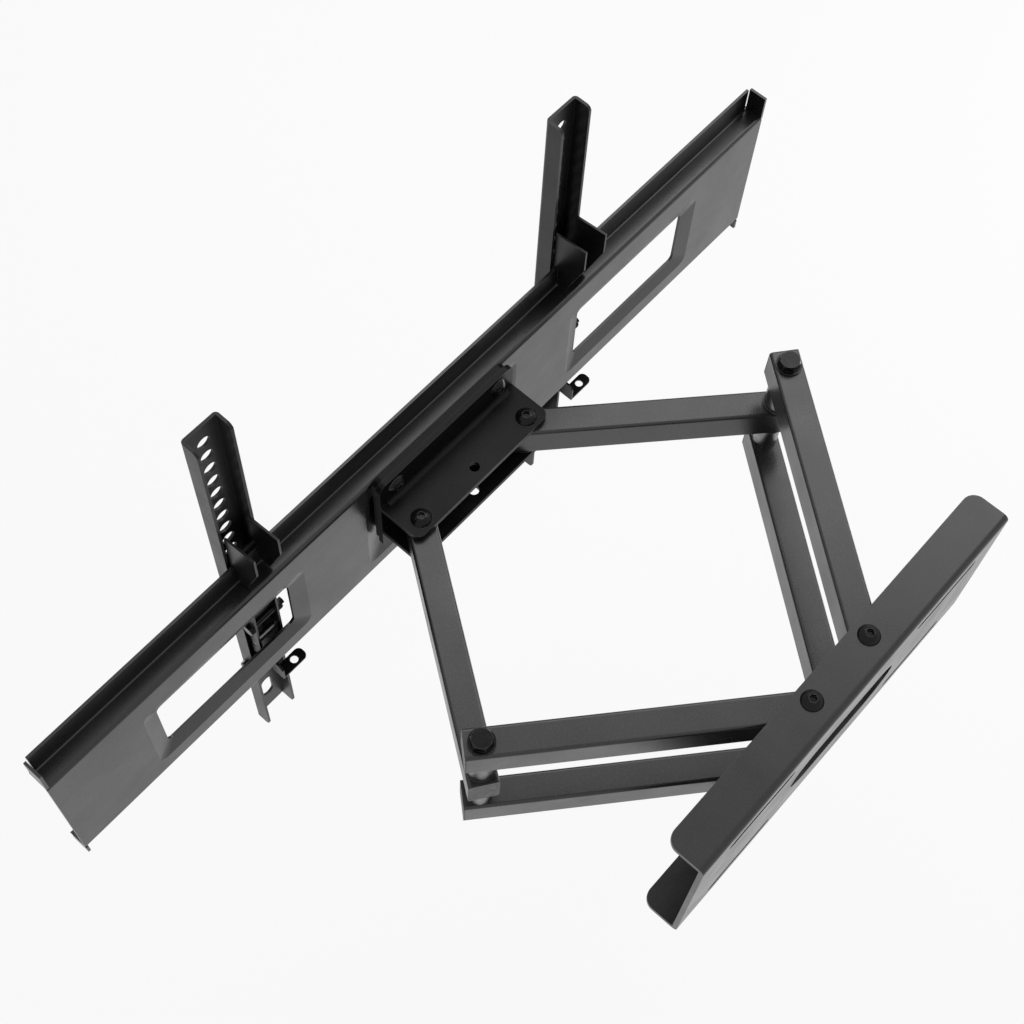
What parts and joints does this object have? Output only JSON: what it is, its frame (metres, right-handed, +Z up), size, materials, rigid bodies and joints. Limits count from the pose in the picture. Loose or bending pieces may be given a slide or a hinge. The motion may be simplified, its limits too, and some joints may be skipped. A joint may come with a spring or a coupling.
{
  "type": "full motion tv wall mount",
  "caption": "Wall mount for a large flat television: two pairs of folding arms carry a long pressed plate with two sliding, tilting rails.",
  "frame": {"origin": "centre of the wall bracket's back face, in the wall's plane", "axes": "+Y into the wall, so the mount reaches out along -Y; +X along the wall, to the left of someone who stands behind the bracket and looks out; +Z up"},
  "size_m": [0.68, 0.3503, 0.426],
  "materials": {
    "black_powder_coat": "semi-gloss powder coat",
    "black_zinc": "glossy black plating",
    "bare_steel": "satin",
    "black_plastic": "fine grain",
    "washer_nylon": "satin"
  },
  "bodies": {
    "wall_bracket": {"wall_bracket": "black_powder_coat", "wall_pivot_bolts": "black_zinc", "wall_pivot_nuts": "black_zinc", "wall_pivot_washers": "washer_nylon", "wall_pivot_spacers": "bare_steel"},
    "wall_arm_left": {"left_upper_tube": "black_powder_coat", "left_lower_tube": "black_powder_coat", "left_wall_arm_caps": "black_plastic", "left_wall_arm_sleeves": "bare_steel", "left_elbow_bolt": "black_zinc", "left_elbow_nut": "black_zinc", "left_elbow_washers": "black_zinc", "left_elbow_spacers": "bare_steel"},
    "tv_arm_left": {"left_tv_arm": "black_powder_coat", "left_tv_arm_caps": "black_plastic", "left_tv_arm_sleeves": "bare_steel", "left_tv_arm_washers": "washer_nylon"},
    "wall_arm_right": {"right_upper_tube": "black_powder_coat", "right_lower_tube": "black_powder_coat", "right_wall_arm_caps": "black_plastic", "right_wall_arm_sleeves": "bare_steel", "right_elbow_bolt": "black_zinc", "right_elbow_nut": "black_zinc", "right_elbow_washers": "black_zinc", "right_elbow_spacers": "bare_steel"},
    "tv_arm_right": {"right_tv_arm": "black_powder_coat", "right_tv_arm_caps": "black_plastic", "right_tv_arm_sleeves": "bare_steel", "right_tv_arm_washers": "washer_nylon"},
    "head": {"head_bracket": "black_powder_coat", "head_pivot_bolts": "black_zinc", "head_pivot_nuts": "black_zinc", "head_web_bolts": "black_zinc", "head_web_nuts": "black_zinc", "stiffener_plate": "black_powder_coat", "tv_plate": "black_powder_coat"},
    "tilt_bracket_left": {"left_tilt_bracket": "black_powder_coat", "left_tie_bolt": "black_zinc", "left_tie_nut": "black_zinc", "left_tilt_bolt": "black_zinc", "left_tilt_nut": "black_zinc"},
    "rail_left": {"left_rail": "black_powder_coat", "left_tilt_ear": "black_powder_coat", "left_ear_rivets": "black_zinc", "left_guide_pin": "bare_steel"},
    "lock_left": {"left_lock_plate": "black_powder_coat"},
    "tilt_bracket_right": {"right_tilt_bracket": "black_powder_coat", "right_tie_bolt": "black_zinc", "right_tie_nut": "black_zinc", "right_tilt_bolt": "black_zinc", "right_tilt_nut": "black_zinc"},
    "rail_right": {"right_rail": "black_powder_coat", "right_tilt_ear": "black_powder_coat", "right_ear_rivets": "black_zinc", "right_guide_pin": "bare_steel"},
    "lock_right": {"right_lock_plate": "black_powder_coat"}
  },
  "joints": [
    {"name": "wall_left_turn", "type": "hinge", "parent": "wall_bracket", "child": "wall_arm_left", "pos_m": [0.0283, -0.018, 0], "axis": [0, 0, 1], "range_deg": [-46, 36]},
    {"name": "elbow_left_turn", "type": "hinge", "parent": "wall_arm_left", "child": "tv_arm_left", "pos_m": [0.1766, -0.14616, 0], "axis": [0, 0, 1], "range_deg": [-65.32, 83.46]},
    {"name": "head_turn", "type": "hinge", "parent": "tv_arm_left", "child": "head", "pos_m": [0.0789, -0.2865, 0], "axis": [0, 0, 1], "range_deg": [-37.46, 29.32]},
    {"name": "wall_right_turn", "type": "hinge", "parent": "wall_bracket", "child": "wall_arm_right", "pos_m": [-0.0283, -0.018, 0], "axis": [0, 0, 1], "range_deg": [-25.99, 33.21]},
    {"name": "elbow_right_turn", "type": "hinge", "parent": "wall_arm_right", "child": "tv_arm_right", "pos_m": [-0.15011, -0.17156, 0], "axis": [0, 0, 1], "range_deg": [-84.31, 65.98]},
    {"name": "bracket_left_slide", "type": "slide", "parent": "head", "child": "tilt_bracket_left", "axis": [1, 0, 0], "range_m": [-0.07, 0.145]},
    {"name": "rail_left_tilt", "type": "hinge", "parent": "tilt_bracket_left", "child": "rail_left", "pos_m": [0.1845, -0.341, -0.11], "axis": [1, 0, 0], "range_deg": [0, 10]},
    {"name": "lock_left_swing", "type": "hinge", "parent": "tilt_bracket_left", "child": "lock_left", "pos_m": [0.1845, -0.341, -0.11], "axis": [1, 0, 0], "range_deg": [-40, 0]},
    {"name": "bracket_right_slide", "type": "slide", "parent": "head", "child": "tilt_bracket_right", "axis": [1, 0, 0], "range_m": [-0.145, 0.07]},
    {"name": "rail_right_tilt", "type": "hinge", "parent": "tilt_bracket_right", "child": "rail_right", "pos_m": [-0.1155, -0.341, -0.11], "axis": [1, 0, 0], "range_deg": [0, 10]},
    {"name": "lock_right_swing", "type": "hinge", "parent": "tilt_bracket_right", "child": "lock_right", "pos_m": [-0.1155, -0.341, -0.11], "axis": [1, 0, 0], "range_deg": [-40, 0]}
  ],
  "couplings": [
    {"joint": "elbow_left_turn", "follows": "wall_left_turn", "ratio": -1.814},
    {"joint": "head_turn", "follows": "wall_left_turn", "ratio": 0.814},
    {"joint": "wall_right_turn", "follows": "wall_left_turn", "ratio": -0.7216},
    {"joint": "elbow_right_turn", "follows": "wall_left_turn", "ratio": 1.8324}
  ]
}
